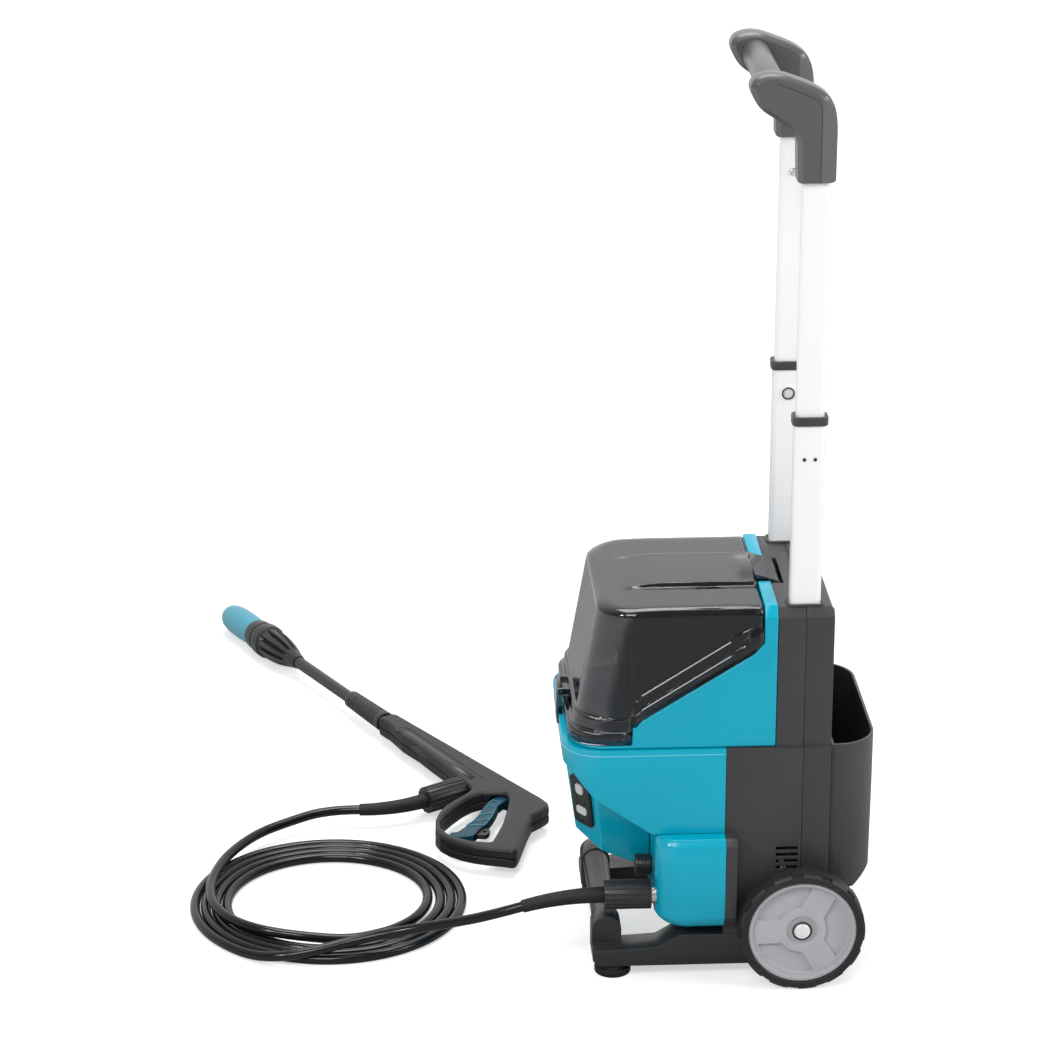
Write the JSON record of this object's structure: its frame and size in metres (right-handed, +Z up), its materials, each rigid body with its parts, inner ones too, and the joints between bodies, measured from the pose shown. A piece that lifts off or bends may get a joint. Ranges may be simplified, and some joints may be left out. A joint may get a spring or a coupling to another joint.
{
  "type": "pressure washer",
  "caption": "Wheeled cordless pressure washer with a smoked battery lid, telescopic pull handle, coiled high-pressure hose and a trigger spray gun lying beside it.",
  "frame": {"origin": "on the floor under the middle of the box around the machine and the gun", "axes": "+X towards the machine's rear, +Y from the machine towards the gun's nozzle, +Z up"},
  "size_m": [0.7909, 1.1349, 1.057],
  "materials": {
    "black": "fine satin moulding",
    "teal": "satin moulding",
    "smoke": "clear smoked plastic",
    "aluminium": "bright anodised",
    "steel": "turned",
    "cast": "as cast",
    "brass": "turned",
    "rubber": "smooth",
    "tyre": "matte",
    "grey": "satin",
    "key": "satin",
    "board": "coated"
  },
  "bodies": {
    "machine": {"base_frame": "black", "rear_housing": "black", "rear_cover": "black", "storage_box": "black", "tube_collars": "black", "control_panel": "black", "inlet_fitting": "black", "battery_dock": "black", "left_battery": "black", "right_battery": "black", "gun_upper_half": "black", "gun_lower_half": "black", "bayonet_sleeve": "black", "lance_tube": "black", "nozzle_body": "black", "belt_shell": "teal", "chin_shell": "teal", "pump_housing": "teal", "upper_shell": "teal", "top_lever": "teal", "left_lower_tube": "aluminium", "right_lower_tube": "aluminium", "axle": "steel", "outlet_fitting": "steel", "tube_rivets": "steel", "pump_pistons": "steel", "axle_caps": "steel", "pump_block": "cast", "motor_can": "cast", "gun_valve": "brass", "front_feet": "rubber", "machine_sleeve": "rubber", "gun_sleeve": "rubber", "hose_coil": "rubber", "hose_gun_lead": "rubber", "hose_machine_lead": "rubber", "controller": "board"},
    "left_wheel": {"left_tyre": "tyre", "left_rim": "grey"},
    "right_wheel": {"right_tyre": "tyre", "right_rim": "grey"},
    "handle": {"left_upper_tube": "aluminium", "right_upper_tube": "aluminium", "left_arm": "black", "right_arm": "black", "grip_bar": "black"},
    "left_stud": {"left_stud": "steel"},
    "right_stud": {"right_stud": "steel"},
    "left_button": {"left_button": "grey"},
    "right_button": {"right_button": "grey"},
    "lid": {"battery_lid": "smoke"},
    "latch": {"lid_latch": "smoke"},
    "power_key": {"power_key": "key"},
    "mode_key": {"mode_key": "key"},
    "machine_nut": {"machine_nut": "black"},
    "gun_nut": {"gun_nut": "black"},
    "trigger": {"trigger": "teal"},
    "trigger_lock": {"trigger_lock": "black"},
    "nozzle_head": {"nozzle_head": "teal"},
    "rotor": {"motor_rotor": "steel"}
  },
  "joints": [
    {"name": "left_wheel_spin", "type": "hinge", "parent": "machine", "child": "left_wheel", "pos_m": [0.3035, -0.5534, 0.072], "axis": [0, 1, 0], "continuous": true},
    {"name": "right_wheel_spin", "type": "hinge", "parent": "machine", "child": "right_wheel", "pos_m": [0.3035, -0.2494, 0.072], "axis": [0, 1, 0], "continuous": true},
    {"name": "handle_slide", "type": "slide", "parent": "machine", "child": "handle", "axis": [0, 0, 1], "range_m": [-0.261, 0]},
    {"name": "left_stud_slide", "type": "slide", "parent": "handle", "child": "left_stud", "axis": [0, -1, 0], "range_m": [0, 0.0041]},
    {"name": "right_stud_slide", "type": "slide", "parent": "handle", "child": "right_stud", "axis": [0, 1, 0], "range_m": [0, 0.0041]},
    {"name": "left_button_press", "type": "slide", "parent": "machine", "child": "left_button", "axis": [0, -1, 0], "range_m": [0, 0.003], "stiffness_N_per_m": 500},
    {"name": "right_button_press", "type": "slide", "parent": "machine", "child": "right_button", "axis": [0, 1, 0], "range_m": [0, 0.003], "stiffness_N_per_m": 500},
    {"name": "lid_hinge", "type": "hinge", "parent": "machine", "child": "lid", "pos_m": [0.2785, -0.4014, 0.447], "axis": [0, 1, 0], "range_deg": [0, 70]},
    {"name": "latch_hinge", "type": "hinge", "parent": "lid", "child": "latch", "pos_m": [0.0355, -0.4014, 0.315], "axis": [0, 1, 0], "range_deg": [0, 35]},
    {"name": "power_key_press", "type": "slide", "parent": "machine", "child": "power_key", "axis": [0.8276, 0.5438, 0.1392], "range_m": [0, 0.0015], "stiffness_N_per_m": 400},
    {"name": "mode_key_press", "type": "slide", "parent": "machine", "child": "mode_key", "axis": [0.8276, 0.5438, 0.1392], "range_m": [0, 0.0015], "stiffness_N_per_m": 400},
    {"name": "machine_nut_spin", "type": "hinge", "parent": "machine", "child": "machine_nut", "pos_m": [0.1335, -0.5214, 0.104], "axis": [-1, 0, 0], "continuous": true},
    {"name": "gun_nut_spin", "type": "hinge", "parent": "machine", "child": "gun_nut", "pos_m": [-0.06813, -0.05456, 0.025], "axis": [-0.8387, -0.5446, 0], "continuous": true},
    {"name": "trigger_pull", "type": "hinge", "parent": "machine", "child": "trigger", "pos_m": [-0.00803, -0.08468, 0.025], "axis": [0, 0, 1], "range_deg": [0, 5], "stiffness_Nm_per_rad": 2},
    {"name": "trigger_lock_swing", "type": "hinge", "parent": "trigger", "child": "trigger_lock", "pos_m": [-0.0531, -0.18788, 0.025], "axis": [0, 0, 1], "range_deg": [0, 35]},
    {"name": "nozzle_twist", "type": "hinge", "parent": "machine", "child": "nozzle_head", "pos_m": [-0.15818, 0.16121, 0.025], "axis": [-0.4787, 0.878, 0], "range_deg": [-45, 45]},
    {"name": "rotor_spin", "type": "hinge", "parent": "machine", "child": "rotor", "pos_m": [0.2435, -0.4214, 0.138], "axis": [1, 0, 0], "continuous": true}
  ],
  "couplings": [
    {"joint": "left_stud_slide", "follows": "handle_slide", "ratio": -0.0153},
    {"joint": "right_stud_slide", "follows": "handle_slide", "ratio": -0.0153}
  ]
}
